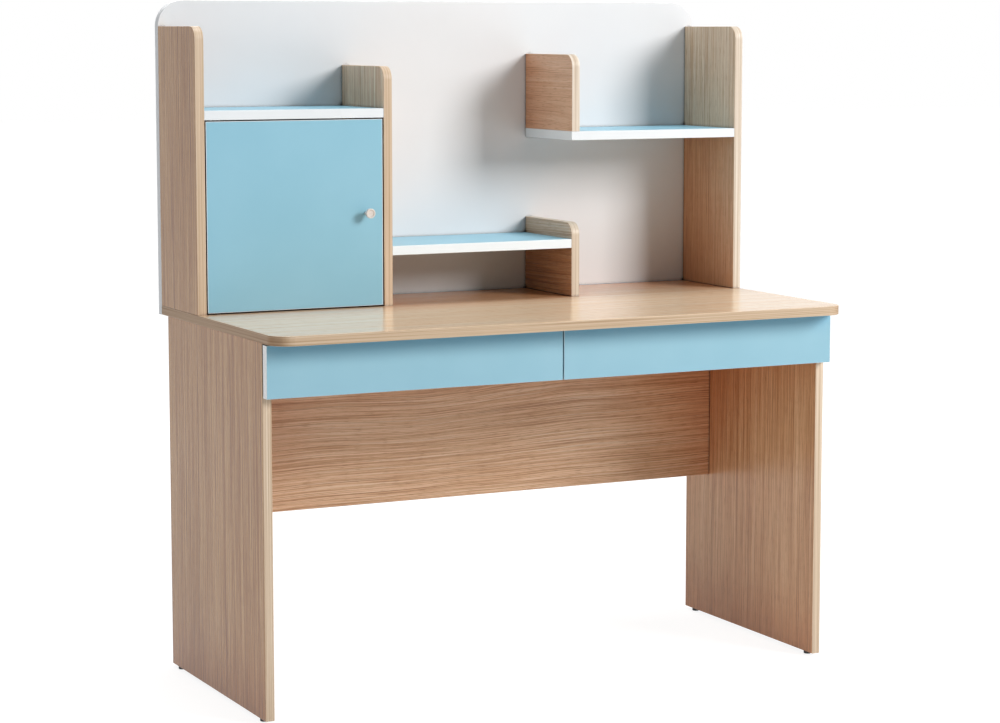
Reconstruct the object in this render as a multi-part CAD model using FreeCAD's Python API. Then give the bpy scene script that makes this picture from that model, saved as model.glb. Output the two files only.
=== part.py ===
import FreeCAD, Part
import os

V = FreeCAD.Vector

# Study desk with a hutch: two slab legs and a modesty panel under a desktop, two drawers on
# ball-bearing runners, and above the desktop a back panel with open shelves and a small cabinet.
# Millimetres, +Z up, +X to the sitter's right, +Y away from the sitter.
# The origin is on the floor, under the middle of the desk.

# Boards and their edges
board = 18.0
back_board = 18.0
edging = 1.0
edge_ease = 1.2
edging_ease = 0.5

# Desk
desktop_width = 1200.0
desktop_depth = 600.0
desktop_corner = 38.0
leg_height = 692.0
leg_depth = 500.0
leg_back_inset = 27.0
leg_side_inset = 3.0
modesty_height = 388.0
modesty_setback = 77.0
glide_height = 6.0
glide_radius = 7.5
glide_inset = 30.0
nail_radius = 1.5
nail_length = 14.0

# Hutch
upright_depth = 206.0
upright_height = 544.0
front_corner = 25.0
divider_height = 467.0
cabinet_width = 368.0
cabinet_height = 368.0
low_shelf_length = 396.0
low_shelf_height = 99.0
low_end_height = 150.0
high_shelf_length = 382.0
high_shelf_height = 316.0
book_stop_height = 154.0
shelf_recess = 0.5
back_rise = 50.0
back_corner = 50.0

# Cabinet door
door_gap = 2.5
door_recess = 1.0
pivot_inset = 22.0
pivot_radius = 3.0
pivot_in_door = 20.0
pivot_in_bush = 9.0
pivot_clearance = 0.05
bush_radius = 5.0
bush_flange_radius = 7.0
bush_depth = 11.0
door_float = 0.3
knob_inset = 35.0
knob_stem_radius = 3.5
knob_stem_length = 17.0
knob_head_radius = 9.5
knob_head_length = 6.5
knob_rim = 2.4
knob_dish = 1.6
knob_ease = 1.0
knob_screw_grip = 10.0
catch_length = 40.0
catch_height = 13.0
catch_depth = 16.0
catch_inset = 12.0
strike_length = 32.0
strike_sheet = 1.2
strike_height = 12.0
strike_clearance = 0.2
spigot_radius = 2.0
spigot_length = 9.0

# Drawers
front_height = 96.0
front_top_gap = 3.0
front_leg_gap = 5.0
front_middle_gap = 3.0
box_board = 12.0
box_height = 70.0
box_length = 360.0
box_lift = 11.0
bottom_sheet = 3.0
bottom_rise = 8.0
bottom_groove = 6.0
bottom_clearance = 0.3
partition_height = 84.0

# Runners: an outer member on the desk, a middle member and an inner member on the drawer
runner_length = 350.0
runner_height = 45.0
runner_space = 12.7
runner_sheet = 1.2
runner_web_gap = 2.2
runner_lip_gap = 1.0
ball_race = 3.0
cage_length = 120.0
cage_clearance = 0.2
cage_margin = 0.6
runner_screw_inset = 40.0

# Fasteners
fixing_inset = 40.0
hole_fit = 0.05
dowel_radius = 4.0
dowel_length = 32.0
dowel_in_face = 12.0
dowel_pitch = 64.0
hole_end_gap = 1.0
cam_radius = 7.5
cam_depth = 12.5
cam_reach = 34.0
cam_slot = 2.0
bolt_radius = 3.0
bolt_grip = 11.0
bolt_clearance = 0.3
screw_radius = 2.0
screw_head_radius = 4.0
screw_head_height = 2.4
screw_length = 45.0
front_screw_length = 25.0
front_screw_low = 31.5
front_screw_high = 56.0
small_screw_radius = 1.6
small_screw_head_radius = 3.4
small_screw_head_height = 1.6
small_screw_length = 10.0

# Places worked out from the driving sizes
half_width = desktop_width / 2
y_back = (desktop_depth + back_board) / 2
y_wall = y_back - back_board
y_front = y_wall - desktop_depth
z_leg = glide_height
z_under = z_leg + leg_height
z_top = z_under + board
leg_outer = half_width - leg_side_inset
leg_inner = leg_outer - board
y_leg_back = y_wall - leg_back_inset
y_leg_front = y_leg_back - leg_depth
y_modesty_back = y_leg_back - modesty_setback
y_modesty_front = y_modesty_back - board
z_modesty = z_under - modesty_height
y_hutch_front = y_wall - upright_depth
y_shelf_front = y_hutch_front + shelf_recess
upright_inner = half_width - board
divider_left = -upright_inner + cabinet_width
divider_right = divider_left + board
low_end_left = divider_right + low_shelf_length
high_left = upright_inner - high_shelf_length
z_cabinet_shelf = z_top + cabinet_height
z_low_shelf = z_top + low_shelf_height
z_high_shelf = z_top + high_shelf_height
z_upright = z_top + upright_height
door_left = -upright_inner + door_gap
door_right = divider_left - door_gap
door_bottom = z_top + door_gap
door_top = z_cabinet_shelf - door_gap
y_door = y_hutch_front + door_recess
y_door_back = y_door + board
pivot_x = door_left + pivot_inset
pivot_y = y_door + board / 2
z_front_top = z_under - front_top_gap
z_front = z_front_top - front_height
y_front_back = y_leg_front - front_leg_gap
y_front_face = y_front_back - board
z_box = z_front + box_lift
z_runner = z_box + box_height / 2
partition_half = board / 2

X = V(1, 0, 0)
Y = V(0, 1, 0)
Z = V(0, 0, 1)
BOTH_SIDES = (("left", -1), ("right", 1))
SAME_PLACE = 1e-6

nodes = {}
drillings = {}


def add(node, *solids):
    """Puts solids into a named node."""
    nodes.setdefault(node, []).extend(solids)


def drill(node, tool):
    """Keeps a hole to be cut from a node once all of its solids exist."""
    drillings.setdefault(node, []).append(tool)


def box(x0, x1, y0, y1, z0, z1):
    return Part.makeBox(x1 - x0, y1 - y0, z1 - z0, V(x0, y0, z0))


def rod(radius, start, axis, length):
    return Part.makeCylinder(radius, length, start, axis)


def place(axis, t, u, v):
    """A point at t along the thickness axis, and at u and v along the other two axes in order."""
    if axis == "x":
        return V(t, u, v)
    if axis == "y":
        return V(u, t, v)
    return V(u, v, t)


def spread(start, end, count):
    """Evenly spaced places for fixings, the outer ones a fixing inset away from both ends."""
    first = start + fixing_inset
    step = (end - start - 2 * fixing_inset) / (count - 1)
    return [first + number * step for number in range(count)]


def outline(axis, t, u0, u1, v0, v1, radii):
    """A closed wire round a rectangle whose corners have the given radii."""
    corners = ((u0, v0), (u1, v0), (u1, v1), (u0, v1))
    turns = ((1, 1), (-1, 1), (-1, -1), (1, -1))
    edges = []
    ends = []
    slack = 1 - 0.5 ** 0.5
    for number, ((u, v), (du, dv), radius) in enumerate(zip(corners, turns, radii)):
        along_v = place(axis, t, u, v + dv * radius)
        along_u = place(axis, t, u + du * radius, v)
        middle = place(axis, t, u + du * radius * slack, v + dv * radius * slack)
        first, last = (along_v, along_u) if number % 2 == 0 else (along_u, along_v)
        ends.append((first, last))
        if radius > 0:
            edges.append(Part.Arc(first, middle, last).toShape())
    for number in range(4):
        edges.append(Part.makeLine(ends[number][1], ends[(number + 1) % 4][0]))
    return Part.Wire(Part.__sortEdges__(edges))


def plate(axis, t0, t1, u0, u1, v0, v1, radii=(0, 0, 0, 0), ease=edge_ease):
    """A board from t0 to t1 along its thickness, with the long edges of both faces eased."""
    face = Part.Face(outline(axis, t0, u0, u1, v0, v1, radii))
    solid = face.extrude(place(axis, t1 - t0, 0, 0))
    number = "xyz".index(axis)
    rims = [edge for edge in solid.Edges
            if abs(edge.BoundBox.Center[number] - t0) < SAME_PLACE
            or abs(edge.BoundBox.Center[number] - t1) < SAME_PLACE]
    return solid.makeFillet(ease, rims)


def banded(node, band_node, axis, t0, t1, u0, u1, v0, v1, sides):
    """A faced board whose named sides carry glued edging strips, each strip its own solid."""
    whole = plate(axis, t0, t1, u0, u1, v0, v1, ease=edging_ease)
    core = {"u0": u0, "u1": u1, "v0": v0, "v1": v1}
    for side in sides:
        core[side] += edging if side.endswith("0") else -edging

    def between(a, b, c, d):
        low = place(axis, t0, a, c)
        high = place(axis, t1, b, d)
        return whole.common(box(low.x, high.x, low.y, high.y, low.z, high.z))

    strips = {
        "u0": (u0, core["u0"], v0, v1),
        "u1": (core["u1"], u1, v0, v1),
        "v0": (core["u0"], core["u1"], v0, core["v0"]),
        "v1": (core["u0"], core["u1"], core["v1"], v1),
    }
    add(node, *between(core["u0"], core["u1"], core["v0"], core["v1"]).Solids)
    for side in sides:
        add(band_node, *between(*strips[side]).Solids)


def dowel(point, axis, face_board, edge_board):
    """A wooden dowel from the face of one board into the edge of another, along the axis."""
    add("dowels", rod(dowel_radius, point - axis * dowel_in_face, axis, dowel_length))
    bottom = point - axis * (dowel_in_face + hole_end_gap)
    hole = rod(dowel_radius + hole_fit, bottom, axis, dowel_length + 2 * hole_end_gap)
    drill(face_board, hole)
    drill(edge_board, hole)


def cam_joint(point, axis, face_normal, bolt_board, cam_board):
    """A bolt screwed into one board and drawn up by a cam disc let into the other board's face."""
    tip = cam_reach + bolt_radius
    add("cam_bolts", rod(bolt_radius, point - axis * bolt_grip, axis, bolt_grip + tip))
    drill(bolt_board, rod(bolt_radius + hole_fit, point - axis * bolt_grip, axis, bolt_grip))
    channel = rod(bolt_radius + bolt_clearance, point, axis, tip + bolt_clearance)
    seat = point + axis * cam_reach + face_normal * (board / 2)
    disc = rod(cam_radius, seat, -face_normal, cam_depth).cut(channel)
    across = axis.cross(face_normal)
    slot = Part.makeBox(cam_radius, cam_slot, cam_slot)
    corner = seat - axis * (cam_radius / 2) - across * (cam_slot / 2) - face_normal * cam_slot
    turn = FreeCAD.Matrix(axis.x, across.x, face_normal.x, corner.x,
                          axis.y, across.y, face_normal.y, corner.y,
                          axis.z, across.z, face_normal.z, corner.z,
                          0, 0, 0, 1)
    slot.Placement = FreeCAD.Placement(turn)
    add("cam_discs", disc.cut(slot))
    drill(cam_board, channel)
    drill(cam_board, rod(cam_radius + hole_fit, seat, -face_normal, cam_depth + hole_fit))


def wood_screw(point, axis, outer_board, inner_board):
    """A countersunk screw, flush with the outer board, that bites into the inner one."""
    add("panel_screws", countersunk(point, axis, screw_length, 0))
    hole = countersunk(point, axis, screw_length + hole_end_gap, hole_fit)
    drill(outer_board, hole)
    drill(inner_board, hole)


def countersunk(point, axis, length, grow):
    shank = rod(screw_radius + grow, point, axis, length)
    head = Part.makeCone(screw_head_radius + grow, screw_radius + grow, screw_head_height, point, axis)
    return shank.fuse(head).removeSplitter()


def pan_screw(node, point, axis, length, radius, head_radius, head_height, boards):
    """A pan-head screw whose head sits on the plane through the point."""
    shank = rod(radius, point, axis, length)
    head = rod(head_radius, point - axis * head_height, axis, head_height)
    rim = [edge for edge in head.Edges
           if edge.isClosed() and (edge.CenterOfMass - point).dot(axis) < -head_height / 2]
    head = head.makeFillet(head_height / 2, rim)
    add(node, shank.fuse(head).removeSplitter())
    for name in boards:
        drill(name, rod(radius + hole_fit, point, axis, length + hole_fit))


def make_legs():
    for side, sign in BOTH_SIDES:
        inner, outer = sorted((sign * leg_inner, sign * leg_outer))
        node = side + "_leg"
        add(node, plate("x", inner, outer, y_leg_front, y_leg_back, z_leg, z_under))
        middle = (inner + outer) / 2
        for y in (y_leg_front + glide_inset, y_leg_back - glide_inset):
            pad = rod(glide_radius, V(middle, y, 0), Z, glide_height)
            rim = [edge for edge in pad.Edges if edge.isClosed() and edge.CenterOfMass.z < glide_height / 2]
            pad = pad.makeFillet(edge_ease, rim)
            nail = rod(nail_radius, V(middle, y, 0), Z, glide_height + nail_length)
            add("floor_glides", pad.fuse(nail).removeSplitter())
            drill(node, rod(nail_radius + hole_fit, V(middle, y, z_leg), Z, nail_length + hole_fit))
        for y in (y_leg_front + 2 * glide_inset, y_leg_back - 2 * glide_inset):
            cam_joint(V(middle, y, z_under), -Z, X * -sign, "desktop", node)
        for y in (y_leg_front + glide_inset, y_leg_back - glide_inset):
            dowel(V(middle, y, z_under), -Z, "desktop", node)


def make_modesty_panel():
    node = "modesty_panel"
    add(node, plate("y", y_modesty_front, y_modesty_back, -leg_inner, leg_inner, z_modesty, z_under))
    y = y_modesty_back - board / 2
    for side, sign in BOTH_SIDES:
        low, high = spread(z_modesty, z_under, 2)
        for z in (low, high):
            cam_joint(V(sign * leg_inner, y, z), X * -sign, Y, side + "_leg", node)
        for z in (low + dowel_pitch, high - dowel_pitch):
            dowel(V(sign * leg_inner, y, z), X * -sign, side + "_leg", node)


def make_desktop():
    corners = (desktop_corner, desktop_corner, 0, 0)
    add("desktop", plate("z", z_under, z_top, -half_width, half_width, y_front, y_wall, corners))


def make_back_panel():
    corners = (0, 0, back_corner, back_corner)
    add("back_panel", plate("y", y_wall, y_back, -half_width, half_width,
                            z_under, z_upright + back_rise, corners))
    standing = (
        ("left_upright", -half_width, upright_height, 3),
        ("right_upright", upright_inner, upright_height, 3),
        ("cabinet_divider", divider_left, divider_height, 2),
    )
    for node, x, height, count in standing:
        for z in spread(z_top, z_top + height, count):
            wood_screw(V(x + board / 2, y_back, z), -Y, "back_panel", node)
    lying = (
        ("desktop", -half_width, half_width, z_under, 4),
        ("cabinet_shelf", -upright_inner, divider_left, z_cabinet_shelf, 2),
        ("low_shelf", divider_right, low_end_left, z_low_shelf, 2),
        ("high_shelf", high_left, upright_inner, z_high_shelf, 2),
    )
    for node, x0, x1, z, count in lying:
        for x in spread(x0, x1, count):
            wood_screw(V(x, y_back, z + board / 2), -Y, "back_panel", node)


def make_standing_board(node, x, height, base=z_top, carrier="desktop"):
    """An upright board of the hutch with a rounded front top corner, screwed from underneath."""
    corners = (0, 0, 0, front_corner)
    add(node, plate("x", x, x + board, y_hutch_front, y_wall, base, base + height, corners))
    middle = x + board / 2
    for y in spread(y_hutch_front, y_wall, 2):
        wood_screw(V(middle, y, base - board), Z, carrier, node)
    dowel(V(middle, y_hutch_front + upright_depth / 2, base), Z, carrier, node)


def make_shelf(node, x0, x1, z, sides, neighbours):
    """A shelf with white edging, doweled into the boards at its ends."""
    banded(node, node + "_edging", "z", z, z + board, x0, x1, y_shelf_front, y_wall, sides)
    for x, into, neighbour in neighbours:
        for y in spread(y_hutch_front, y_wall, 2):
            dowel(V(x, y, z + board / 2), into, neighbour, node)


def make_hutch():
    make_standing_board("left_upright", -half_width, upright_height)
    make_standing_board("right_upright", upright_inner, upright_height)
    make_standing_board("cabinet_divider", divider_left, divider_height)
    make_standing_board("low_shelf_end", low_end_left, low_end_height)
    make_shelf("cabinet_shelf", -upright_inner, divider_left, z_cabinet_shelf, ("v0",),
               ((-upright_inner, X, "left_upright"), (divider_left, -X, "cabinet_divider")))
    make_shelf("low_shelf", divider_right, low_end_left, z_low_shelf, ("v0",),
               ((divider_right, X, "cabinet_divider"), (low_end_left, -X, "low_shelf_end")))
    make_shelf("high_shelf", high_left, upright_inner, z_high_shelf, ("v0", "u0"),
               ((upright_inner, -X, "right_upright"),))
    make_standing_board("book_stop", high_left, book_stop_height, z_high_shelf + board, "high_shelf")


def make_door():
    banded("door_panel", "door_edging", "y", y_door, y_door_back, door_left, door_right,
           door_bottom, door_top, ("u0", "u1", "v0", "v1"))
    ends = ((door_bottom, z_top, -Z, "desktop"), (door_top, z_cabinet_shelf, Z, "cabinet_shelf"))
    for z_door, z_board, out, carrier in ends:
        start = V(pivot_x, pivot_y, z_door) - out * pivot_in_door
        reach = pivot_in_door + door_gap + pivot_in_bush
        add("door_pivot_pins", rod(pivot_radius, start, out, reach))
        for node in ("door_panel", "door_edging"):
            drill(node, rod(pivot_radius + hole_fit, start, out, pivot_in_door))
        seat = V(pivot_x, pivot_y, z_board)
        sleeve = rod(bush_radius, seat, out, bush_depth)
        flange = rod(bush_flange_radius, seat, -out, door_gap - door_float)
        well = rod(pivot_radius + pivot_clearance, seat - out * door_gap, out,
                   door_gap + pivot_in_bush + door_float)
        add("door_pivot_bushes", sleeve.fuse(flange).removeSplitter().cut(well))
        drill(carrier, rod(bush_radius + hole_fit, seat, out, bush_depth + hole_fit))


def knob_profile():
    """Half of the knob's section: stem, waisted head and a face dished inside a raised rim."""
    length = knob_stem_length + knob_head_length
    head = knob_head_radius
    points = (
        (0, 0),
        (knob_stem_radius, 0),
        (knob_stem_radius, knob_stem_length),
        (head, knob_stem_length),
        (head, length),
        (head - knob_rim, length),
        (head - knob_rim - knob_dish, length - knob_dish),
        (0, length - knob_dish),
    )
    edges = [Part.makeLine(V(r, -y, 0), V(q, -w, 0))
             for (r, y), (q, w) in zip(points, points[1:] + points[:1])]
    return Part.Face(Part.Wire(edges))


def make_knob():
    x = door_right - knob_inset
    z = (door_bottom + door_top) / 2
    knob = knob_profile().revolve(V(0, 0, 0), Y, 360)
    if knob.Volume < 0:
        knob.reverse()
    rims = [edge for edge in knob.Edges
            if edge.isClosed() and abs(edge.BoundBox.XLength / 2 - knob_head_radius) < SAME_PLACE]
    knob = knob.makeFillet(knob_ease, rims)
    knob.translate(V(x, y_door, z))
    add("door_knob", knob)
    pan_screw("knob_screw", V(x, y_door_back, z), -Y, board + knob_screw_grip, screw_radius,
              screw_head_radius, screw_head_height, ("door_panel", "door_knob"))


def spigot(x, y, z, axis, board_node):
    """A round peg moulded on a fitting, pressed into a hole in a board."""
    start = V(x, y, z)
    drill(board_node, rod(spigot_radius + hole_fit, start, axis, spigot_length + hole_fit))
    return rod(spigot_radius, start, axis, spigot_length)


def make_catch():
    """A magnetic catch under the cabinet shelf and its strike plate on the back of the door."""
    x1 = divider_left - catch_inset
    x0 = x1 - catch_length
    y0 = y_door_back + strike_sheet + strike_clearance
    z1 = z_cabinet_shelf
    body = plate("z", z1 - catch_height, z1, x0, x1, y0, y0 + catch_depth)
    middle = (x0 + x1) / 2
    pegs = [spigot(x, y0 + catch_depth / 2, z1, Z, "cabinet_shelf")
            for x in ((x0 + middle) / 2, (middle + x1) / 2)]
    add("door_catch", body.fuse(pegs).removeSplitter())
    z_strike = door_top - edging
    strike = plate("y", y_door_back, y_door_back + strike_sheet, middle - strike_length / 2,
                   middle + strike_length / 2, z_strike - strike_height, z_strike, ease=strike_sheet / 4)
    peg = spigot(middle, y_door_back, z_strike - strike_height / 2, -Y, "door_panel")
    add("strike_plate", strike.fuse(peg).removeSplitter())


def make_partition():
    node = "drawer_partition"
    add(node, plate("x", -partition_half, partition_half, y_leg_front, y_modesty_front,
                    z_under - partition_height, z_under))
    for y in spread(y_leg_front, y_modesty_front, 2):
        dowel(V(0, y, z_under), -Z, "desktop", node)
    dowel(V(0, y_modesty_front, z_runner), -Y, "modesty_panel", node)


def channel(x_web, x_lip, half_height, y0, y1):
    """A member of folded steel: a web at one side and two flanges that reach to the lip."""
    sheet = runner_sheet if x_lip > x_web else -runner_sheet
    low, high = sorted((x_web, x_lip))
    web_low, web_high = sorted((x_web, x_web + sheet))
    web = box(web_low, web_high, y0, y1, z_runner - half_height, z_runner + half_height)
    top = box(low, high, y0, y1, z_runner + half_height - runner_sheet, z_runner + half_height)
    bottom = box(low, high, y0, y1, z_runner - half_height, z_runner - half_height + runner_sheet)
    return web.fuse([top, bottom]).removeSplitter()


def make_runner(drawer, side, wall_x, toward, wall_board, box_side):
    """One telescopic runner between a wall of the desk and a side of a drawer."""
    name = drawer + "_" + side + "_runner_"
    y0 = y_leg_front
    y1 = y0 + runner_length
    half = runner_height / 2
    step = runner_sheet + ball_race
    web_middle = runner_sheet + runner_web_gap
    lip = runner_space - runner_sheet - runner_lip_gap
    lip_inner = web_middle + runner_sheet + runner_lip_gap

    def at(depth):
        return wall_x + toward * depth

    add(name + "outer", channel(at(0), at(lip), half, y0, y1))
    add(name + "middle", channel(at(web_middle), at(lip), half - step, y0, y1))
    add(name + "inner", channel(at(runner_space), at(lip_inner), half - 2 * step, y0, y1))
    x0, x1 = sorted((at(lip_inner), at(lip - cage_margin)))
    strip = ball_race - 2 * cage_clearance
    races = (
        (half - step + ball_race, y1 - cage_length, y1),
        (half - 2 * step + ball_race, y0, y0 + cage_length),
    )
    for top, start, end in races:
        for low in (z_runner + top - ball_race + cage_clearance, z_runner - top + cage_clearance):
            add(name + "middle", box(x0, x1, start, end, low, low + strip))
    for y in (y0 + runner_screw_inset, y1 - runner_screw_inset):
        pan_screw("runner_screws", V(at(runner_sheet), y, z_runner), X * -toward, small_screw_length,
                  small_screw_radius, small_screw_head_radius, small_screw_head_height,
                  (name + "outer", wall_board))
        pan_screw(drawer + "_screws", V(at(runner_space - runner_sheet), y, z_runner), X * toward,
                  small_screw_length, small_screw_radius, small_screw_head_radius,
                  small_screw_head_height, (name + "inner", box_side))


def make_drawer(side, sign):
    drawer = side + "_drawer"
    reach = sorted((sign * front_middle_gap / 2, sign * leg_outer))
    banded(drawer + "_front", drawer + "_front_edging", "y", y_front_face, y_front_back,
           reach[0], reach[1], z_front, z_front_top, ("u0", "u1", "v0", "v1"))
    bay = sorted((sign * partition_half, sign * leg_inner))
    x0 = bay[0] + runner_space
    x1 = bay[1] - runner_space
    y0 = y_front_back
    y1 = y0 + box_length
    z1 = z_box + box_height
    add(drawer + "_left_side", plate("x", x0, x0 + box_board, y0, y1, z_box, z1))
    add(drawer + "_right_side", plate("x", x1 - box_board, x1, y0, y1, z_box, z1))
    inside = (x0 + box_board, x1 - box_board)
    add(drawer + "_box_front", plate("y", y0, y0 + box_board, inside[0], inside[1], z_box, z1))
    add(drawer + "_back", plate("y", y1 - box_board, y1, inside[0], inside[1], z_box, z1))
    z_groove = z_box + bottom_rise
    groove = (inside[0] - bottom_groove, inside[1] + bottom_groove,
              y0 + box_board - bottom_groove, y1 - box_board + bottom_groove)
    slit = box(groove[0], groove[1], groove[2], groove[3], z_groove, z_groove + bottom_sheet)
    for part in ("_left_side", "_right_side", "_box_front", "_back"):
        drill(drawer + part, slit)
    inset = bottom_clearance
    add(drawer + "_bottom", box(groove[0] + inset, groove[1] - inset, groove[2] + inset,
                                groove[3] - inset, z_groove, z_groove + bottom_sheet))
    for x in spread(inside[0], inside[1], 2):
        for height in (front_screw_low, front_screw_high):
            pan_screw(drawer + "_screws", V(x, y0 + box_board, z_box + height), -Y,
                      front_screw_length, screw_radius, screw_head_radius, screw_head_height,
                      (drawer + "_box_front", drawer + "_front"))
    inner_wall = ("right", "left")[sign > 0]
    walls = {side: side + "_leg", inner_wall: "drawer_partition"}
    make_runner(drawer, "left", bay[0], 1, walls["left"], drawer + "_left_side")
    make_runner(drawer, "right", bay[1], -1, walls["right"], drawer + "_right_side")


def write_parts():
    """Cuts the holes and writes one file for each node."""
    os.makedirs("parts", exist_ok=True)
    for node, solids in nodes.items():
        holes = drillings.get(node)
        if holes:
            solids = [piece for solid in solids for piece in solid.cut(holes).Solids]
        for solid in solids:
            if not solid.isValid() or solid.Volume <= 0:
                raise ValueError("bad solid in " + node)
        shape = solids[0] if len(solids) == 1 else Part.makeCompound(solids)
        shape.exportStep("parts/" + node + ".step")
        print(node, len(solids), round(sum(solid.Volume for solid in solids)))


make_legs()
make_modesty_panel()
make_desktop()
make_back_panel()
make_hutch()
make_door()
make_knob()
make_catch()
make_partition()
for drawer_side, drawer_sign in BOTH_SIDES:
    make_drawer(drawer_side, drawer_sign)
write_parts()
print(len(nodes), "nodes")
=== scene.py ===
# %% [markdown]
# # A study desk with a hutch, dressed in Blender
# The real desk is flat-pack furniture: oak-patterned boards, sky-blue fronts and shelves, white edging
# strips and an off-white back panel. Its shapes already exist as exact solids, one for each board and
# fitting. So this lesson models almost nothing again. It loads the solids as a fixed frame and gives each
# of them the finish that the real board has, then adds a few small fittings, the light and the camera.

# %% Load the frame
import math

import bmesh
import bpy
from mathutils import Matrix, Vector


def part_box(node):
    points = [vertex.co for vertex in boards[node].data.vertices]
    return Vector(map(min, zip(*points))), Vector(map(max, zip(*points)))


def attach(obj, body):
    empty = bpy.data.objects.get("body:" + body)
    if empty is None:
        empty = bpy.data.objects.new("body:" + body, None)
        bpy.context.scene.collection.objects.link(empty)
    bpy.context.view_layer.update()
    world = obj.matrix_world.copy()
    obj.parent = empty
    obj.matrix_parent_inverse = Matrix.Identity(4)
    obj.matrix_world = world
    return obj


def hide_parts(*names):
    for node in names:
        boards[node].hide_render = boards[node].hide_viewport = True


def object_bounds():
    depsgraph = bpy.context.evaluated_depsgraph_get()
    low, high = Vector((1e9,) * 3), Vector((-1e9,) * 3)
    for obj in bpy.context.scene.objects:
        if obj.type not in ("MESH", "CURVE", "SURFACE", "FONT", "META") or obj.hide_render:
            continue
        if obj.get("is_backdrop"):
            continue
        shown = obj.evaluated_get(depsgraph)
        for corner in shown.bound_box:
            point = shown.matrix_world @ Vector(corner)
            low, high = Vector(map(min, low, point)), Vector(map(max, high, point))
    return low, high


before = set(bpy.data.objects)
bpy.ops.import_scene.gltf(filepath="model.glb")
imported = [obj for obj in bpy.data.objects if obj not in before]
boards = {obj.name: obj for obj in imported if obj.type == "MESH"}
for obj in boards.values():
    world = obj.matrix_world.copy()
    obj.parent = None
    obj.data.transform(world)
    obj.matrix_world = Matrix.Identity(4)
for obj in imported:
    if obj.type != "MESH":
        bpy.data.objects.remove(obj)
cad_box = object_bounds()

print("boards and fittings in the frame:", len(boards))
print("the desk's box in metres:", [round(high - low, 3) for low, high in zip(*cad_box)])

# %% [markdown]
# ## Wiring a material
# A finish in Blender is a small circuit of nodes. Each one could be wired by hand in the Shader Editor.
# In a script, short helpers keep the circuits readable. The first ones start a material with a Principled
# shader, add a node and plug its sockets. The others are short forms for what is wired again and again:
# sums, ranges, mixes and ramps of colour, the parts of a vector, and noise drawn out in one direction.

# %% Helpers that wire nodes
def start_finish(name):
    """A new node material with a Principled shader plugged into its output."""
    finish = bpy.data.materials.new(name)
    finish.use_nodes = True
    tree = finish.node_tree
    tree.nodes.clear()
    output = tree.nodes.new("ShaderNodeOutputMaterial")
    shader = tree.nodes.new("ShaderNodeBsdfPrincipled")
    tree.links.new(shader.outputs["BSDF"], output.inputs["Surface"])
    return finish, tree, shader


def plug(tree, socket, value):
    """Links an output to a socket, or sets the socket to a plain value."""
    if isinstance(value, bpy.types.NodeSocket):
        tree.links.new(value, socket)
    else:
        socket.default_value = value


def step(tree, kind, sockets, output=0, **settings):
    """Adds one node, plugs its sockets and gives back one of its outputs."""
    made = tree.nodes.new("ShaderNode" + kind)
    for key, value in settings.items():
        setattr(made, key, value)
    for key, value in sockets.items():
        plug(tree, made.inputs[key], value)
    return made.outputs[output]


def calc(tree, operation, *values):
    """One sum, product or the like of plain numbers."""
    return step(tree, "Math", dict(enumerate(values)), operation=operation)


def remap(tree, value, low, high, to_low, to_high):
    """Turns a range of values into another range, with soft ends."""
    sockets = {"Value": value, "From Min": low, "From Max": high, "To Min": to_low, "To Max": to_high}
    return step(tree, "MapRange", sockets, interpolation_type="SMOOTHSTEP")


def tint(tree, amount, below, above, how="MIX"):
    """Mixes two colours by an amount that changes over the surface."""
    # A Mix node has sockets for every kind of data, and those for colours are numbers 6 and 7
    colour_inputs = {0: amount, 6: below, 7: above}
    return step(tree, "Mix", colour_inputs, 2, data_type="RGBA", blend_type=how)


def ramp(tree, value, stops):
    """Turns a value into a colour that runs through the given stops."""
    made = tree.nodes.new("ShaderNodeValToRGB")
    scale = made.color_ramp.elements
    while len(scale) < len(stops):
        scale.new(0.5)
    for element, (position, colour) in zip(scale, stops):
        element.position = position
        element.color = (*colour, 1.0)
    tree.links.new(value, made.inputs["Fac"])
    return made.outputs["Color"]


def axes_of(tree, vector):
    """The three parts of a vector, by the names of their axes."""
    made = tree.nodes.new("ShaderNodeSeparateXYZ")
    tree.links.new(vector, made.inputs[0])
    return dict(zip("xyz", made.outputs))


def speckle(tree, across, along, seed, wide, long, detail=2.0, rough=0.5):
    """Noise drawn out along the second coordinate: so many cells in a metre each way."""
    sockets = {0: calc(tree, "MULTIPLY", across, wide), 1: calc(tree, "MULTIPLY", along, long), 2: seed}
    spot = step(tree, "CombineXYZ", sockets)
    noise = {"Vector": spot, "Scale": 1.0, "Detail": detail, "Roughness": rough}
    return step(tree, "TexNoise", noise, "Fac")


print("helpers ready")
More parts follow.
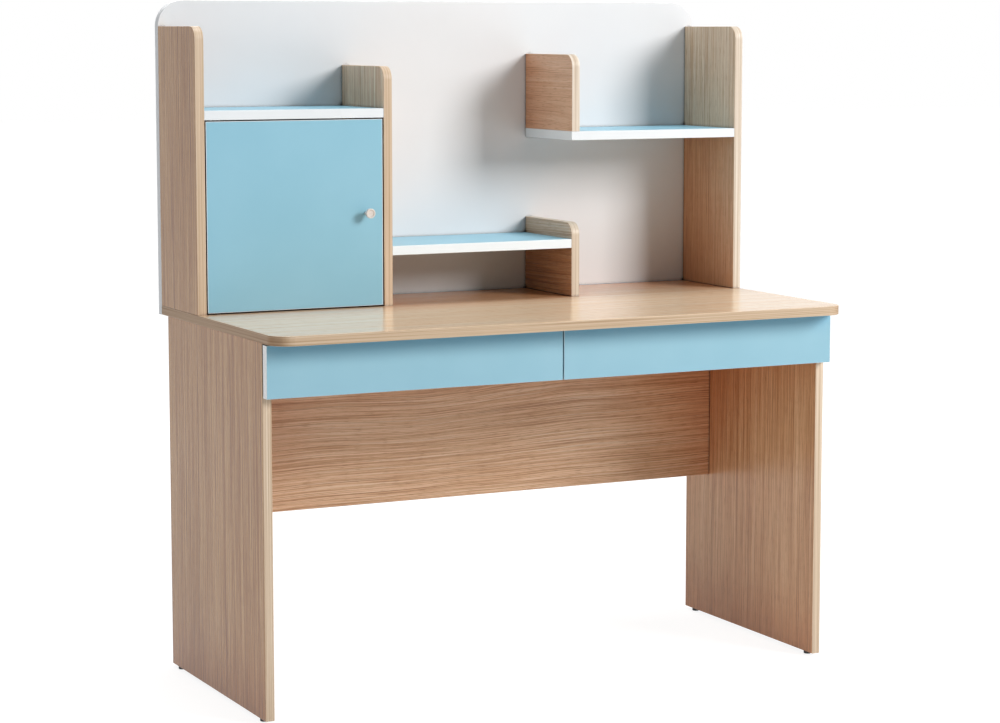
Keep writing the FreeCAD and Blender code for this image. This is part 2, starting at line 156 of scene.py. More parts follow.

# %% [markdown]
# ## Oak laminate
# The boards wear a printed oak pattern under a satin film. A photograph of oak could be wrapped round
# them, but a pattern made from nodes has no seams and no limit to how near the camera may come. It is
# made the way a tree makes it: the board is a flat cut through growth rings, so the distance from the
# tree's heart gives the lines. A heart far to one side gives straight lines, and a heart close under the
# board gives arches. Over that lie dark late wood, pale lines and short pores. The narrow edges carry a
# glued strip, lighter than the faces, whose grain always runs along the edge, so the direction in which
# the surface looks picks one of the two patterns.
#
# Where boards stand close together, the light between them has met wood before and is darker and warmer.
# The renderer follows bounced light too, but the picture shows more of it, so a tint helps. It needs to
# know where boards are near, and Ambient Occlusion tells how much of a place's surroundings is filled.
# Measured over thirty centimetres it finds the boxed-in corners, and over a centimetre the narrow gaps and
# joints, into which shade is painted.

# %% The oak finish
OAK_DARK = (0.480, 0.245, 0.115)
OAK_MIDDLE = (0.670, 0.395, 0.215)
OAK_LIGHT = (0.790, 0.535, 0.335)
PALE_LINE = (0.900, 0.660, 0.450)
LATE_WOOD = (0.62, 0.47, 0.38, 1.0)
PORE = (0.70, 0.60, 0.52, 1.0)
STRIP_DARK = (0.470, 0.322, 0.200)
STRIP_MIDDLE = (0.622, 0.468, 0.330)
STRIP_LIGHT = (0.715, 0.572, 0.432)
BRIGHTEST = 0.92
BOUNCE = (0.85, 0.54, 0.37)
# The colour of the painted shade in narrow gaps
GAP_SHADE_DARK = (0.06, 0.05, 0.05)

# Roughness from the light lines to the dark ones, and for the faces how strongly they mirror
SATIN = (0.24, 0.34, 0.40)
GLOSSY = (0.16, 0.24, 0.40)
STRIP_SHINE = (0.38, 0.48)

# Cells of noise in a metre, across the rings and along the grain
LINE_CELLS = (290.0, 1.2)
HAIR_CELLS = (560.0, 5.0)
CLOUD_CELLS = (6.0, 0.9)
LATE_CELLS = (190.0, 1.3)
PALE_CELLS = (230.0, 1.2)
ARCH_CELLS = (110.0, 1.0)
PORE_CELLS = (800.0, 36.0)
STRIP_CELLS = (520.0, 1.8)

# Distances in metres: how far the painted shade of a gap reaches, how near other boards warm the light, how
# far from the heart the rings lie calm, from where to where the arches fade, and how soon the warm light
# ends at a shelf
JOINT = 0.012
NEAR_BOARDS = 0.30
CALM = 0.40
ARCH_START, ARCH_END = 0.04, 0.24
SHELF_EDGE = 0.02


def openness(tree, distance):
    """How free a place is within a distance: one in the open, nought where all is filled."""
    return step(tree, "AmbientOcclusion", {"Distance": distance}, "AO", samples=6)


def paint_gap_shade(tree, colour, gap=GAP_SHADE_DARK):
    """Paints shade into a colour in gaps a few millimetres wide, where little light finds its way in."""
    hidden = remap(tree, openness(tree, JOINT), 0.32, 0.60, 1.0, 0.0)
    return tint(tree, hidden, colour, (*gap, 1.0), "MULTIPLY")


def toned(colour, tone):
    """A colour with each part scaled by the tone, but no brighter than a real surface can be."""
    return tuple(min(BRIGHTEST, part * share) for part, share in zip(colour, tone))


def oak_finish(name, grain, thick, seed, heart, fine, soft, tone, edge,
               sway=0.027, waves=1.3, shine=SATIN, ends=None, shelf=None):
    """Oak whose grain runs along one axis, on a board whose thickness is along another.

    Heart is where the middle of the tree lies: a place along the third axis, a depth behind the face,
    and how much that depth grows in a metre of length. Sway is how far the rings wander near the heart,
    in metres, and waves how often they do so in a metre. Fine makes the lines thinner and shorter, soft
    makes them fainter. Tone is the sheet's red, green and blue as parts of the common oak colour, edge
    the same for its glued strips, and ends once more for those strips that cross the ends of the grain.
    Each tone is partly the sheet's own and partly painted light and shade for how the lamps fall on the
    board. Shine is the range of roughness and how strongly the face mirrors. Shelf names a blue shelf
    that meets the board: above it no other wood is near, and the warm light between boards is left out.
    """
    finish, tree, shader = start_finish(name)
    at = axes_of(tree, step(tree, "TexCoord", {}, "Object"))
    facing = axes_of(tree, step(tree, "TexCoord", {}, "Normal"))
    wide = "xyz".replace(grain, "").replace(thick, "")
    along, across, through = at[grain], at[wide], at[thick]

    heart_across, heart_depth, lean = heart
    off_heart = calc(tree, "ABSOLUTE", calc(tree, "SUBTRACT", across, heart_across))
    reach = remap(tree, off_heart, 0.0, CALM, 2.0 * sway, 0.6 * sway)
    wander = speckle(tree, across, along, seed + 3.1, 2.2 * waves, waves, 2.0, 0.40)
    moved = calc(tree, "MULTIPLY_ADD", calc(tree, "SUBTRACT", wander, 0.5), reach, across)
    depth = calc(tree, "MULTIPLY_ADD", along, lean, heart_depth)
    from_heart = step(tree, "CombineXYZ", {0: calc(tree, "SUBTRACT", moved, heart_across), 1: depth})
    ring = step(tree, "VectorMath", {0: from_heart}, "Value", operation="LENGTH")

    def thinned(cells):
        return [fine * count for count in cells]

    lines = speckle(tree, ring, along, seed, fine * LINE_CELLS[0], LINE_CELLS[1], 3.0, 0.6)
    hairs = speckle(tree, ring, along, seed + 7.7, *thinned(HAIR_CELLS))
    clouds = speckle(tree, across, along, seed + 5.3, *CLOUD_CELLS, 1.0)
    grey = calc(tree, "ADD", calc(tree, "MULTIPLY", lines, 0.52), calc(tree, "MULTIPLY", hairs, 0.38))
    grey = calc(tree, "MULTIPLY_ADD", clouds, 0.10, grey)
    strength = 0.04 / soft
    late = speckle(tree, ring, along, seed + 2.6, *thinned(LATE_CELLS), 3.0)
    late = remap(tree, late, 0.57, 0.68, 0.0, strength)
    pale = speckle(tree, ring, along, seed + 4.4, *thinned(PALE_CELLS))
    pale = remap(tree, pale, 0.58, 0.68, 0.0, 0.8 * strength)
    arches = remap(tree, speckle(tree, ring, along, seed + 6.1, *ARCH_CELLS), 0.56, 0.64, 0.0, 0.8)
    arches = calc(tree, "MULTIPLY", arches, remap(tree, off_heart, ARCH_START, ARCH_END, 1.0, 0.0))
    pores = remap(tree, speckle(tree, ring, along, seed + 1.9, *PORE_CELLS), 0.56, 0.70, 0.0, 0.8)

    oaks = (OAK_DARK, OAK_MIDDLE, OAK_LIGHT, PALE_LINE)
    dark, middle, light, palest = (toned(oak, tone) for oak in oaks)
    face = ramp(tree, grey, ((0.50 - soft, dark), (0.50, middle), (0.50 + soft, light)))
    face = tint(tree, pale, face, (*palest, 1.0))
    face = tint(tree, late, face, LATE_WOOD, "MULTIPLY")
    face = tint(tree, arches, face, LATE_WOOD, "MULTIPLY")
    face = tint(tree, pores, face, PORE, "MULTIPLY")
    boxed_in = remap(tree, openness(tree, NEAR_BOARDS), 0.35, 0.80, 1.0, 0.0)
    if shelf:
        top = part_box(shelf)[1][2]
        below = remap(tree, at["z"], top - SHELF_EDGE, top, 1.0, 0.0)
        boxed_in = calc(tree, "MULTIPLY", boxed_in, below)
    face = tint(tree, boxed_in, face, (*BOUNCE, 1.0), "MULTIPLY")

    rim = calc(tree, "ADD", along, across)
    strip_lines = speckle(tree, through, rim, seed + 9.2, *STRIP_CELLS, 2.0, 0.6)
    dark, middle, light = (toned(strip, edge) for strip in (STRIP_DARK, STRIP_MIDDLE, STRIP_LIGHT))
    strip = ramp(tree, strip_lines, ((0.33, dark), (0.50, middle), (0.67, light)))
    if ends:
        on_end = remap(tree, calc(tree, "ABSOLUTE", facing[grain]), 0.1, 0.9, 0.0, 1.0)
        strip = tint(tree, on_end, strip, (*ends, 1.0), "MULTIPLY")
    on_edge = remap(tree, calc(tree, "ABSOLUTE", facing[thick]), 0.60, 0.80, 1.0, 0.0)

    # The base colour gets painted shade in its narrow gaps
    plug(tree, shader.inputs["Base Color"], paint_gap_shade(tree, tint(tree, on_edge, face, strip)))
    face_shine = remap(tree, grey, 0.35, 0.65, shine[1], shine[0])
    strip_shine = remap(tree, strip_lines, 0.35, 0.65, STRIP_SHINE[1], STRIP_SHINE[0])
    plug(tree, shader.inputs["Roughness"], step(tree, "Mix", {0: on_edge, 2: face_shine, 3: strip_shine}))
    shader.inputs["Specular IOR Level"].default_value = shine[2]
    height = calc(tree, "MULTIPLY_ADD", pores, -0.6, grey)
    bump = {"Strength": 0.10, "Distance": 0.0004, "Height": height}
    plug(tree, shader.inputs["Normal"], step(tree, "Bump", bump))
    return finish


def dress(node, finish):
    """Gives a board or fitting of the frame its finish."""
    skin = boards[node].data.materials
    skin.clear()
    skin.append(finish)


print("oak ready")

# %% [markdown]
# ## Oak boards
# Each board was sawn from its own sheet, so no two of them show the same lines. The legs, the tall
# uprights and the cabinet's divider have straight upright grain. The desktop and the modesty panel have
# theirs along the desk, and the panel shows the arches of a flat cut. The two low boards of the hutch
# have grain that runs from front to back. One finish for all would repeat itself, so each board gets its
# own finish with its own seed, heart and sway. Printed sheets also differ in tone from batch to batch, and
# the sheet on the desktop has a smoother film, in which the blue door is mirrored. So each board has its
# own tone too, matched with the picture one board at a time. These tones are partly the sheets' own and
# partly painted light and shade: the boards on the left are darker and the desktop is paler than the
# lamps alone make them.

# %% Dress the oak boards
# Tones of faces, as parts of the common oak's red, green and blue; partly each sheet's own, partly painted
# light and shade
WARM = (1.00, 0.94, 0.87)
PALE = (1.15, 1.40, 1.72)
# Darker, with painted shade, for the boards whose outer sides face left
DEEP_PAINTED_SHADE = (0.71, 0.59, 0.42)

# Tones of edging strips, partly their own and partly painted light and shade
TAN = (1.03, 1.06, 1.09)
SANDY = (0.96, 0.96, 0.95)
CREAM = (1.10, 1.25, 1.45)

oak_boards = {
    "left_leg": dict(grain="z", thick="x", seed=11.0, heart=(-1.60, 0.30, 0.03), sway=0.033,
                     fine=1.4, soft=0.026, tone=DEEP_PAINTED_SHADE, edge=TAN),
    "right_leg": dict(grain="z", thick="x", seed=23.0, heart=(1.50, 0.30, -0.03), sway=0.033,
                      fine=1.7, soft=0.058, tone=WARM, edge=TAN),
    "left_upright": dict(grain="z", thick="x", seed=31.0, heart=(1.40, 0.30, 0.02),
                         fine=1.4, soft=0.026, tone=DEEP_PAINTED_SHADE, edge=SANDY),
    "right_upright": dict(grain="z", thick="x", seed=43.0, heart=(-1.30, 0.30, 0.02),
                          fine=1.9, soft=0.075, tone=(1.00, 1.26, 1.56), edge=CREAM, shelf="high_shelf"),
    "cabinet_divider": dict(grain="z", thick="x", seed=59.0, heart=(1.50, 0.30, 0.03),
                            fine=1.9, soft=0.055, tone=PALE, edge=SANDY, shelf="cabinet_shelf"),
    "low_shelf_end": dict(grain="y", thick="x", seed=61.0, heart=(0.45, 0.10, 0.06), sway=0.020,
                          waves=2.0, fine=1.4, soft=0.070, tone=(0.87, 1.04, 1.26),
                          edge=(0.98, 1.09, 1.21), shelf="low_shelf"),
    "book_stop": dict(grain="y", thick="x", seed=73.0, heart=(1.40, 0.06, 0.10), sway=0.030,
                      waves=2.0, fine=1.6, soft=0.130, tone=(1.06, 1.14, 1.36), edge=CREAM),
    "drawer_partition": dict(grain="y", thick="x", seed=79.0, heart=(0.20, 0.20, 0.04), sway=0.015,
                             fine=1.7, soft=0.060, tone=WARM, edge=TAN),
    "modesty_panel": dict(grain="x", thick="y", seed=83.0, heart=(0.74, 0.06, 0.08), sway=0.030,
                          waves=2.4, fine=1.9, soft=0.068, tone=(1.08, 1.13, 1.24), edge=TAN),
    # The desktop's pale tone is partly painted light from above, and its darker ends are painted shade for
    # the end that faces left
    "desktop": dict(grain="x", thick="z", seed=97.0, heart=(0.90, 0.25, 0.03), sway=0.020,
                    fine=0.8, soft=0.192, tone=(1.30, 1.60, 1.98), edge=(0.88, 0.85, 0.80),
                    shine=GLOSSY, ends=(0.67, 0.55, 0.43)),
}
for node, recipe in oak_boards.items():
    dress(node, oak_finish("oak_" + node, **recipe))
print("oak boards dressed:", len(oak_boards))

# %% [markdown]
# ## Blue, white and plastic skins
# The blue and white boards wear a plain satin film. Seen close, such a film is not one flat colour: it
# has a faint mottle, and a shallow grain like the peel of an orange breaks up its shine. Edging strips,
# nylon and black plastic are moulded and have the same two traits at other sizes. So one recipe makes
# them all: two near colours mixed by a wide noise, and a fine noise that gives the shine and the bump.
#
# The drawer fronts hang under the desktop, where blue boards light each other: their gaps and their shaded
# upper parts get painted shade of a deeper blue, not grey. Their edging is white on the ends, but its
# narrow front side takes the blue of the sheet, as if trimmed flush. The drawers' edging and the low
# shelf's strip are brighter copies of the white edging, with painted light.

# %% The film recipe
OVERHANG = 0.05


def film_finish(name, low, high, mottle, peel, shine, bump,
                level=0.5, gap=GAP_SHADE_DARK, shade=None, front=None):
    """A plain skin: two near colours, mottle and peel as cells in a metre, a range of roughness.

    Level is how strongly it mirrors, gap the painted shade of narrow gaps, shade the painted shade of
    the space under an overhang, and front a colour of its own for the side that faces the sitter."""
    finish, tree, shader = start_finish(name)
    place = step(tree, "TexCoord", {}, "Object")
    wide = step(tree, "TexNoise", {"Vector": place, "Scale": mottle, "Detail": 3.0}, "Fac")
    fine = step(tree, "TexNoise", {"Vector": place, "Scale": peel, "Detail": 2.0}, "Fac")
    colour = ramp(tree, wide, ((0.32, low), (0.68, high)))
    if front:
        facing = axes_of(tree, step(tree, "TexCoord", {}, "Normal"))
        colour = tint(tree, remap(tree, facing["y"], -0.9, -0.7, 1.0, 0.0), colour, (*front, 1.0))
    # Painted shade under an overhang, where little of the surroundings is open
    if shade:
        under = remap(tree, openness(tree, OVERHANG), 0.50, 0.96, 1.0, 0.0)
        colour = tint(tree, under, colour, (*shade, 1.0), "MULTIPLY")
    plug(tree, shader.inputs["Base Color"], paint_gap_shade(tree, colour, gap))
    shader.inputs["Specular IOR Level"].default_value = level
    plug(tree, shader.inputs["Roughness"], remap(tree, fine, 0.3, 0.7, shine[0], shine[1]))
    grain = {"Strength": bump, "Distance": 0.0003, "Height": fine}
    plug(tree, shader.inputs["Normal"], step(tree, "Bump", grain))
    return finish


# Painted shade for the drawers: in their gaps, and under the desktop's overhang
GAP_SHADE_BLUE = (0.22, 0.45, 0.56)
BLUE_SHADE = (0.34, 0.66, 0.86)
DRAWER_BLUE = (0.268, 0.497, 0.609)

blue = film_finish("sky_blue_film", (0.242, 0.506, 0.645), (0.262, 0.528, 0.668), 7.0, 900.0,
                   (0.34, 0.46), 0.08)
white_strip = film_finish("white_edging", (0.780, 0.828, 0.866), (0.800, 0.846, 0.882), 20.0, 700.0,
                          (0.32, 0.42), 0.05)
# A brighter, bluer copy of the white edging: painted light on the low shelf's edge
low_strip_painted_light = film_finish("low_shelf_strip_painted_light", (0.830, 0.910, 0.960), (0.845, 0.922, 0.970), 20.0, 700.0,
                        (0.32, 0.42), 0.05)
drawer_blue = film_finish("drawer_blue_film", (0.258, 0.486, 0.598), (0.279, 0.507, 0.620), 7.0, 900.0,
                          (0.34, 0.46), 0.08, gap=GAP_SHADE_BLUE, shade=BLUE_SHADE)
# A brighter copy of the white edging, painted light on the drawers' lit white ends, with painted shade in
# its gaps
drawer_strip_painted_light = film_finish("drawer_edging_painted_light", (0.890, 0.895, 0.900), (0.905, 0.912, 0.918), 20.0, 700.0,
                           (0.22, 0.30), 0.05, level=0.9, gap=GAP_SHADE_BLUE, front=DRAWER_BLUE)
off_white = film_finish("off_white_film", (0.744, 0.752, 0.770), (0.766, 0.775, 0.794), 6.0, 900.0,
                        (0.40, 0.52), 0.07)
drawer_foil = film_finish("drawer_foil", (0.775, 0.765, 0.745), (0.805, 0.797, 0.780), 9.0, 800.0,
                          (0.42, 0.54), 0.07)
nylon = film_finish("white_nylon", (0.800, 0.800, 0.785), (0.840, 0.840, 0.828), 60.0, 1600.0,
                    (0.34, 0.46), 0.06)
black_plastic = film_finish("black_plastic", (0.010, 0.010, 0.011), (0.022, 0.022, 0.023), 90.0, 1800.0,
                            (0.42, 0.58), 0.10)
lacquer = film_finish("knob_lacquer", (0.670, 0.615, 0.580), (0.735, 0.685, 0.650), 160.0, 1500.0,
                      (0.26, 0.36), 0.05)

films = {
    "door_panel": blue, "cabinet_shelf": blue, "low_shelf": blue, "high_shelf": blue,
    "left_drawer_front": drawer_blue, "right_drawer_front": drawer_blue,
    "door_edging": white_strip, "cabinet_shelf_edging": white_strip, "low_shelf_edging": low_strip_painted_light,
    "high_shelf_edging": white_strip, "left_drawer_front_edging": drawer_strip_painted_light,
    "right_drawer_front_edging": drawer_strip_painted_light,
    "back_panel": off_white, "door_knob": lacquer, "floor_glides": black_plastic,
    "door_pivot_bushes": black_plastic, "door_catch": nylon,
}
for side in ("left", "right"):
    for part in ("left_side", "right_side", "box_front", "back", "bottom"):
        films[f"{side}_drawer_{part}"] = drawer_foil
for node, finish in films.items():
    dress(node, finish)
print("boards and fittings with a plain skin:", len(films))

# %% [markdown]
# ## Metal and bare wood
# Runners are folded from zinc-plated strip, which keeps faint marks along its length from the rolls. The
# screws and cams are plated too, but too small to show a direction, and the door's pins are blackened so
# that nothing glints in the gap. A metal in Blender is a Principled shader with its Metallic value at one:
# then the base colour tints the reflection. The dowels are bare beech with short dark flecks.

# %% Dress the metal and the dowels
BEECH_DARK = (0.50, 0.33, 0.19)
BEECH_LIGHT = (0.66, 0.47, 0.29)


def metal_finish(name, low, high, streak, shine, bump):
    """Plated metal: streak gives how many cells of noise lie in a metre along x, y and z."""
    finish, tree, shader = start_finish(name)
    shader.inputs["Metallic"].default_value = 1.0
    place = step(tree, "TexCoord", {}, "Object")
    drawn = step(tree, "VectorMath", {0: place, 1: streak}, operation="MULTIPLY")
    marks = step(tree, "TexNoise", {"Vector": drawn, "Scale": 1.0, "Detail": 3.0}, "Fac")
    plug(tree, shader.inputs["Base Color"], ramp(tree, marks, ((0.3, low), (0.7, high))))
    plug(tree, shader.inputs["Roughness"], remap(tree, marks, 0.3, 0.7, shine[0], shine[1]))
    scratch = {"Strength": bump, "Distance": 0.0002, "Height": marks}
    plug(tree, shader.inputs["Normal"], step(tree, "Bump", scratch))
    return finish


def beech_finish(name):
    """Bare beech with short flecks, for rods that may lie along any axis."""
    finish, tree, shader = start_finish(name)
    place = step(tree, "TexCoord", {}, "Object")
    flecks = step(tree, "TexVoronoi", {"Vector": place, "Scale": 450.0}, "Distance")
    clouds = step(tree, "TexNoise", {"Vector": place, "Scale": 120.0, "Detail": 3.0}, "Fac")
    tone = calc(tree, "MULTIPLY_ADD", flecks, 0.35, calc(tree, "MULTIPLY", clouds, 0.7))
    plug(tree, shader.inputs["Base Color"], ramp(tree, tone, ((0.35, BEECH_DARK), (0.65, BEECH_LIGHT))))
    plug(tree, shader.inputs["Roughness"], remap(tree, tone, 0.3, 0.7, 0.62, 0.74))
    grain = {"Strength": 0.2, "Distance": 0.0003, "Height": tone}
    plug(tree, shader.inputs["Normal"], step(tree, "Bump", grain))
    return finish


runner_zinc = metal_finish("runner_zinc", (0.52, 0.53, 0.55), (0.64, 0.65, 0.66), (900.0, 9.0, 900.0),
                           (0.26, 0.40), 0.10)
plated_steel = metal_finish("plated_steel", (0.46, 0.46, 0.47), (0.60, 0.60, 0.60), (400.0, 400.0, 400.0),
                            (0.24, 0.38), 0.10)
dark_steel = metal_finish("blackened_steel", (0.030, 0.030, 0.032), (0.060, 0.060, 0.064),
                          (400.0, 400.0, 400.0), (0.40, 0.55), 0.10)
cast_zinc = metal_finish("cast_zinc", (0.48, 0.48, 0.47), (0.60, 0.60, 0.58), (700.0, 700.0, 700.0),
                         (0.36, 0.50), 0.20)
beech = beech_finish("bare_beech")

fittings = {"cam_discs": cast_zinc, "dowels": beech, "door_pivot_pins": dark_steel}
for node in ("cam_bolts", "panel_screws", "runner_screws", "left_drawer_screws", "right_drawer_screws",
             "knob_screw", "strike_plate"):
    fittings[node] = plated_steel
for drawer in ("left_drawer", "right_drawer"):
    for side in ("left", "right"):
        for member in ("outer", "middle", "inner"):
            fittings[f"{drawer}_{side}_runner_{member}"] = runner_zinc
for node, finish in fittings.items():
    dress(node, finish)
bare = sorted(set(boards) - set(films) - set(fittings) - set(oak_boards))
print("metal and beech fittings dressed:", len(fittings), "left without a finish:", bare)

# %% [markdown]
# ## Screws with a cross in their heads
# The screws in the frame are plain, with smooth heads. On the real desk each head has a cross pressed
# into it, and on the back panel they are the only fittings to be seen. The cross could be painted, but a
# close view would give that away. So each screw is turned again like on a lathe: rings of points are
# joined into a body, the top is filled round a cross, and the cross is sunk and closed by a floor. The
# places are read from the frame: every loose piece of a screw node is one screw, and its wide end is the
# head. No two screws stop at the same turn, so each cross is turned a little further.

# %% Find the screws of a node
def measure_screw(points):
    """The middle of a screw's head, the way it points, its length, two radii and its head's depth."""
    low, high = (Vector(pick(point[axis] for point in points) for axis in range(3)) for pick in (min, max))
    size, middle = high - low, (low + high) / 2
    length = max(size)
    span = Vector(1.0 if part == length else 0.0 for part in size)

    def off_axis(point):
        return (point - middle - span * (point - middle).dot(span)).length

    widest = max(points, key=off_axis)
    way = -span if (widest - middle).dot(span) > 0 else span
    head = middle - way * length / 2
    thin = min(off_axis(point) for point in points)
    depth = min((point - head).dot(way) for point in points if off_axis(point) < 1.05 * thin)
    return head, way, length, off_axis(widest), thin, depth


def screw_places(node):
    """The measures of every screw of a node, in a fixed order."""
    shape = bmesh.new()
    shape.from_mesh(boards[node].data)
    bmesh.ops.remove_doubles(shape, verts=shape.verts, dist=1e-6)
    places, waiting = [], set(shape.verts)
    while waiting:
        screw, border = [], [waiting.pop()]
        while border:
            point = border.pop()
            screw.append(point.co.copy())
            near = {edge.other_vert(point) for edge in point.link_edges} & waiting
            waiting -= near
            border.extend(near)
        places.append(measure_screw(screw))
    shape.free()
    return sorted(places, key=lambda place: [round(part, 5) for part in place[0]])


screw_nodes = {"panel_screws": "desk", "runner_screws": "desk", "left_drawer_screws": "left_drawer",
               "right_drawer_screws": "right_drawer", "knob_screw": "door"}
for node in screw_nodes:
    found = screw_places(node)
    print(node, len(found), "screws, the first one", round(1000 * found[0][2], 1), "mm long")

# %% Turn the screws and press their crosses
SCREW_SIDES = 32
TURN_EACH = 0.7

# A domed head from its top to its underside, as shares of its radius and its depth
DOME = ((0.72, 0.0), (0.90, 0.16), (1.0, 0.45), (1.0, 1.0))

# The cross as shares of the head's radius: its reach and half an arm, at the mouth and at the floor
MOUTH = (0.56, 0.11)
FLOOR = (0.44, 0.08)
CROSS_DEPTH = 0.7
BLUNT = 0.12


def loop_of(shape, corners, z):
    """A closed ring of points and edges at one height."""
    points = [shape.verts.new((x, y, z)) for x, y in corners]
    return points, [shape.edges.new(pair) for pair in zip(points, points[1:] + points[:1])]


def join_loops(shape, upper, lower):
    """Closes the side between two rings with as many points."""
    count = len(upper)
    for here in range(count):
        after = (here + 1) % count
        shape.faces.new((upper[here], lower[here], lower[after], upper[after]))


def circle(radius):
    """The corners of a round ring."""
    turns = (2 * math.pi * number / SCREW_SIDES for number in range(SCREW_SIDES))
    return [(radius * math.cos(turn), radius * math.sin(turn)) for turn in turns]


def cross(reach, arm):
    """The twelve corners of a cross: how far it reaches, and half the width of an arm."""
    quarter = ((reach, -arm), (reach, arm), (arm, arm))
    corners = []
    for number in range(4):
        for x, y in quarter:
            for _ in range(number):
                x, y = -y, x
            corners.append((x, y))
    return corners


def turn_screw(shape, sunk, length, wide, thin, depth):
    """Adds one closed screw with its head at the origin and its point down, and gives back its points."""
    if sunk:
        profile = [(wide, 0.0)]
    else:
        profile = [(share * wide, -fall * depth) for share, fall in DOME]
    profile += [(thin, -depth), (thin, 2.0 * thin - length), (BLUNT * thin, -length)]
    rings = [loop_of(shape, circle(radius), z) for radius, z in profile]
    for (upper, _), (lower, _) in zip(rings, rings[1:]):
        join_loops(shape, upper, lower)
    shape.faces.new(rings[-1][0][::-1])
    mouth, mouth_edges = loop_of(shape, cross(*(share * wide for share in MOUTH)), 0.0)
    floor, floor_edges = loop_of(shape, cross(*(share * wide for share in FLOOR)), -CROSS_DEPTH * depth)
    join_loops(shape, mouth, floor)
    bmesh.ops.triangle_fill(shape, use_beauty=True, edges=rings[0][1] + mouth_edges)
    bmesh.ops.triangle_fill(shape, use_beauty=True, edges=floor_edges)
    return [point for ring, _ in rings for point in ring] + mouth + floor


for node, body in screw_nodes.items():
    shape = bmesh.new()
    for number, (head, way, *sizes) in enumerate(screw_places(node)):
        points = turn_screw(shape, node == "panel_screws", *sizes)
        stand = Matrix.Translation(head) @ way.to_track_quat("-Z", "Y").to_matrix().to_4x4()
        turned = stand @ Matrix.Rotation(TURN_EACH * number, 4, "Z")
        bmesh.ops.transform(shape, matrix=turned, verts=points)
    bmesh.ops.recalc_face_normals(shape, faces=shape.faces)
    mesh = bpy.data.meshes.new("crosshead_" + node)
    shape.to_mesh(mesh)
    open_edges = sum(not edge.is_manifold for edge in shape.edges)
    shape.free()
    mesh.shade_smooth()
    mesh.set_sharp_from_angle(angle=math.radians(30.0))
    mesh.materials.append(plated_steel)
    piece = bpy.data.objects.new("crosshead_" + node, mesh)
    bpy.context.scene.collection.objects.link(piece)
    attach(piece, body)
    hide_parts(node)
    print(piece.name, "faces", len(mesh.polygons), "open edges", open_edges)

# %% [markdown]
# ## Floor and surroundings
# A product picture stands on paper so bright that floor and wall run into one white. If lamps made that
# white, they would bleach the desk too. Light Path tells a shader what kind of ray asks: the camera, and
# mirror-like rays, see a glow that adds up to white, while all other rays see plain pale paper and an
# even, weak and slightly blue sky. The paper's own shaded part stays in what the camera sees, so the desk
# keeps its shadow. The glow grows with the distance from the desk, so that far paper and sky are one white.

# %% Make the floor and the sky
def seen_ray(tree):
    """One for rays that come from the camera, a gloss or a glass, and nought for the rest."""
    path = tree.nodes.new("ShaderNodeLightPath").outputs
    direct = calc(tree, "MAXIMUM", path["Is Camera Ray"], path["Is Glossy Ray"])
    return calc(tree, "MAXIMUM", direct, path["Is Transmission Ray"])


PAPER = (0.88, 0.88, 0.88, 1.0)
SHADED_PAPER = (0.30, 0.30, 0.30, 1.0)
WHITE = (1.0, 1.0, 1.0, 1.0)
SKY_BLUE = (0.86, 0.97, 1.0, 1.0)
SKY_STRENGTH = 0.11
GLOW_NEAR, GLOW_FAR = 0.88, 1.0
NEAR_FLOOR, FAR_FLOOR = 1.2, 3.2
HALF_FLOOR = 30.0

paper = bpy.data.materials.new("studio_paper")
paper.use_nodes = True
tree = paper.node_tree
tree.nodes.clear()
plain = step(tree, "BsdfDiffuse", {"Color": PAPER})
shaded = step(tree, "BsdfDiffuse", {"Color": SHADED_PAPER})
spot = step(tree, "TexCoord", {}, "Object")
from_desk = step(tree, "VectorMath", {0: spot}, "Value", operation="LENGTH")
fading = remap(tree, from_desk, NEAR_FLOOR, FAR_FLOOR, GLOW_NEAR, GLOW_FAR)
glow = step(tree, "Emission", {"Color": WHITE, "Strength": fading})
bright = step(tree, "AddShader", {0: shaded, 1: glow})
surface = step(tree, "MixShader", {0: seen_ray(tree), 1: plain, 2: bright})
output = tree.nodes.new("ShaderNodeOutputMaterial")
tree.links.new(surface, output.inputs["Surface"])

sheet_mesh = bpy.data.meshes.new("floor")
corners = [(HALF_FLOOR * x, HALF_FLOOR * y, 0.0) for x, y in ((-1, -1), (1, -1), (1, 1), (-1, 1))]
sheet_mesh.from_pydata(corners, [], [(0, 1, 2, 3)])
sheet_mesh.materials.append(paper)
floor = bpy.data.objects.new("floor", sheet_mesh)
bpy.context.scene.collection.objects.link(floor)
floor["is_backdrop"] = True

world = bpy.data.worlds.new("studio")
world.use_nodes = True
bpy.context.scene.world = world
tree = world.node_tree
tree.nodes.clear()
sky = step(tree, "Background", {"Color": SKY_BLUE, "Strength": SKY_STRENGTH})
backdrop = step(tree, "Background", {"Color": WHITE, "Strength": 1.0})
both = step(tree, "MixShader", {0: seen_ray(tree), 1: sky, 2: backdrop})
output = tree.nodes.new("ShaderNodeOutputWorld")
tree.links.new(both, output.inputs["Surface"])
print("floor", tuple(floor.dimensions), "sky strength", SKY_STRENGTH)

# %% [markdown]
# ## Lamps
# In the picture the knob throws one short shadow to the lower left, and the hutch's boards throw wide
# soft ones the same way. So the key lamp is a large one in front, to the right and a little above. Three
# weaker ones help it: one overhead for the desktop and the shelves, one on the left that opens up the sides
# of the legs, and one behind for the back panel and for pictures from that side. Area lamps are used
# because a wide source is what makes the edge of a shadow soft.

# %% Place the lamps
AIM = Vector((0.0, 0.0, 0.75))


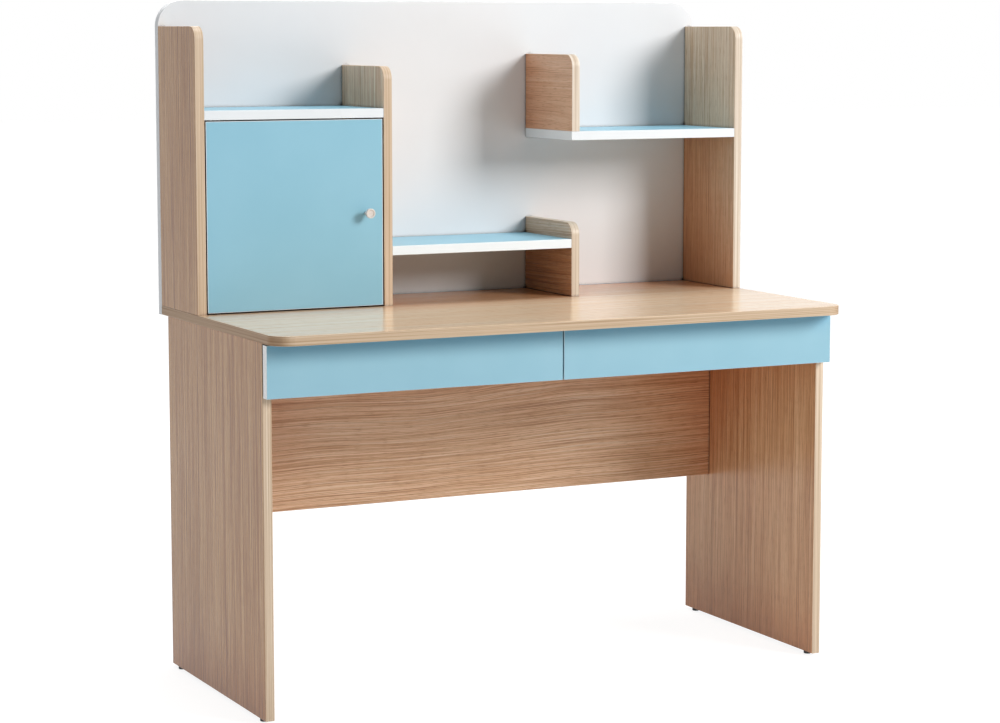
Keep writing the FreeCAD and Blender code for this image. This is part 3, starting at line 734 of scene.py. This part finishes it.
def soft_lamp(name, turn, rise, distance, size, power, colour):
    """A square lamp that looks at the middle of the desk from a turn to the right and a rise."""
    turn, rise = math.radians(turn), math.radians(rise)
    away = Vector((math.sin(turn) * math.cos(rise), -math.cos(turn) * math.cos(rise), math.sin(rise)))
    data = bpy.data.lights.new(name, "AREA")
    data.shape = "SQUARE"
    data.size = size
    data.energy = power
    data.color = colour
    lamp = bpy.data.objects.new(name, data)
    lamp.location = AIM + away * distance
    lamp.rotation_mode = "QUATERNION"
    lamp.rotation_quaternion = (-away).to_track_quat("-Z", "Y")
    bpy.context.scene.collection.objects.link(lamp)
    print(name, [round(v, 2) for v in lamp.location], power, "W")


soft_lamp("key_lamp", 38.0, 23.5, 7.0, 2.6, 420.0, (1.0, 0.985, 0.97))
soft_lamp("top_lamp", 180.0, 86.0, 4.0, 1.8, 88.0, (1.0, 1.0, 1.0))
soft_lamp("left_lamp", -78.0, 6.0, 4.5, 2.0, 34.0, (0.97, 0.99, 1.0))
soft_lamp("back_lamp", 172.0, 25.0, 4.5, 2.6, 60.0, (1.0, 1.0, 1.0))

# %% [markdown]
# ## Camera
# The picture was taken from the left, a little above the desktop, with a long lens from about five
# metres. Its place and turn came from matching the corners of the boards with those in the picture. A
# small shift of the lens frames the desk without tilting the camera further.

# %% Set the camera
LOOK_DOWN, LOOK_RIGHT = 6.533, 26.517

camera_data = bpy.data.cameras.new("camera")
camera_data.sensor_fit = "HORIZONTAL"
camera_data.sensor_width = 36.0
camera_data.lens = 94.474
camera_data.shift_y = -0.0315
camera = bpy.data.objects.new("camera", camera_data)
camera.location = (-2.2912, -4.5836, 1.2537)
camera.rotation_euler = (math.radians(90.0 - LOOK_DOWN), 0.0, math.radians(-LOOK_RIGHT))
bpy.context.scene.collection.objects.link(camera)
bpy.context.scene.camera = camera
bpy.context.scene.view_settings.view_transform = "Standard"
print("camera at", tuple(camera.location), "lens", camera_data.lens)

# %% [markdown]
# ## Sizes
# Dressing the desk should leave its size as it was, so its box is measured again and printed next to the
# frame's.

# %% Measure the box again and finish
dressed_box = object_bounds()
sizes = {"cad": [list(corner) for corner in cad_box], "visual": [list(corner) for corner in dressed_box]}
print("boxes:", sizes)
